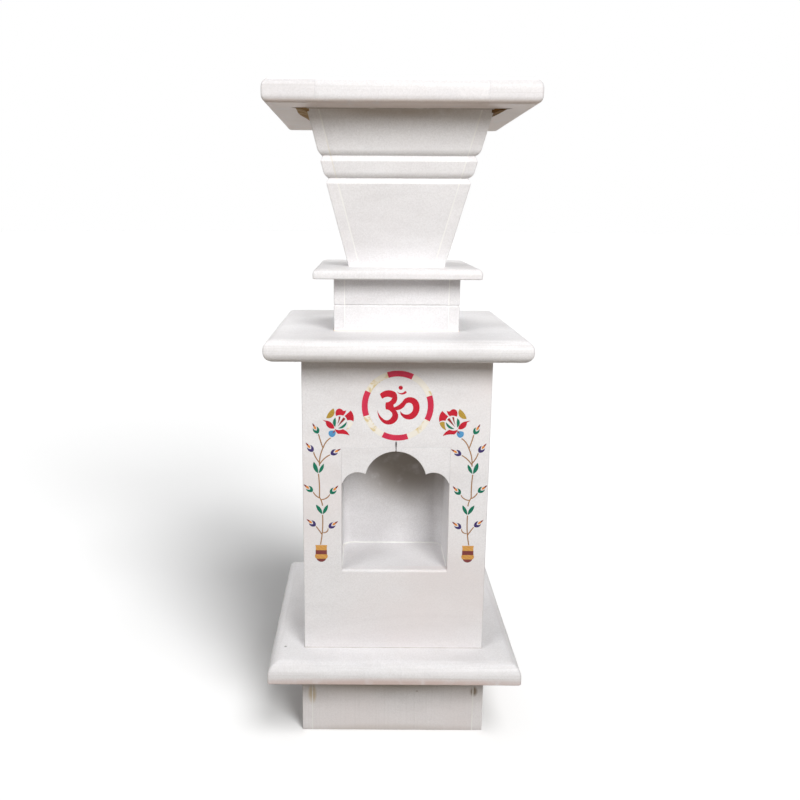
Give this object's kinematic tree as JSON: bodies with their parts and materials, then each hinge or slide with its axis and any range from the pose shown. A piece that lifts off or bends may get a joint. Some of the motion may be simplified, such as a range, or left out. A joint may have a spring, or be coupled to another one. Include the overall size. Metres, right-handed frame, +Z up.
{
  "type": "tulsi vrindavan planter",
  "caption": "White marble altar planter: stacked square plinth, pedestal with cusped niche, stone inlay, neck and flared square pot with a round-edged rim.",
  "frame": {"origin": "on the floor, under the middle of the plinth", "axes": "+Z up, -Y towards the front with the niche, +X to the right as seen from the front"},
  "size_m": [0.3, 0.3, 0.762],
  "materials": {
    "white_marble": "polished, faint grey clouding",
    "red_stone": "polished red jasper",
    "ring_red_stone": "polished rose red stone",
    "cream_shell": "polished cream shell",
    "maroon_stone": "polished maroon stone",
    "ochre_stone": "polished ochre stone",
    "tan_stone": "polished tan stone",
    "green_stone": "polished malachite green",
    "dark_green_stone": "polished dark green stone",
    "purple_stone": "polished dark purple stone",
    "orange_stone": "polished orange carnelian",
    "dark_red_stone": "polished dark red stone",
    "gold_stone": "polished golden stone",
    "pearl_shell": "polished mother of pearl",
    "blue_stone": "polished pale blue stone"
  },
  "bodies": {
    "root": {"arch_plate": "white_marble", "base_slab": "white_marble", "collar_slab": "white_marble", "left_bud_points": "dark_red_stone", "left_bud_tips": "orange_stone", "left_flower_calyx": "blue_stone", "left_flower_gold_petal": "gold_stone", "left_flower_low_petal": "cream_shell", "left_flower_pearl_slips": "pearl_shell", "left_flower_red_petals": "red_stone", "left_flower_stamens": "dark_red_stone", "left_green_buds": "dark_green_stone", "left_purple_buds": "purple_stone", "left_vine_leaves": "green_stone", "left_vine_pot": "ochre_stone", "left_vine_pot_bands": "maroon_stone", "left_vine_stems": "tan_stone", "neck_back": "white_marble", "neck_front": "white_marble", "neck_left": "white_marble", "neck_right": "white_marble", "niche_back": "white_marble", "niche_ceiling": "white_marble", "niche_floor": "white_marble", "niche_left": "white_marble", "niche_right": "white_marble", "om_red": "red_stone", "pedestal_back": "white_marble", "pedestal_front": "white_marble", "pedestal_left": "white_marble", "pedestal_right": "white_marble", "plinth_back": "white_marble", "plinth_front": "white_marble", "plinth_left": "white_marble", "plinth_right": "white_marble", "pot_back": "white_marble", "pot_front": "white_marble", "pot_left": "white_marble", "pot_right": "white_marble", "right_bud_points": "dark_red_stone", "right_bud_tips": "orange_stone", "right_flower_calyx": "blue_stone", "right_flower_gold_petal": "gold_stone", "right_flower_low_petal": "gold_stone", "right_flower_pearl_slips": "pearl_shell", "right_flower_red_petals": "red_stone", "right_flower_stamens": "dark_red_stone", "right_green_buds": "dark_green_stone", "right_purple_buds": "purple_stone", "right_vine_leaves": "green_stone", "right_vine_pot": "ochre_stone", "right_vine_pot_bands": "maroon_stone", "right_vine_stems": "tan_stone", "rim_back": "white_marble", "rim_front": "white_marble", "rim_left": "white_marble", "rim_right": "white_marble", "ring_cream": "cream_shell", "ring_red": "ring_red_stone", "table_slab": "white_marble"}
  },
  "joints": []
}
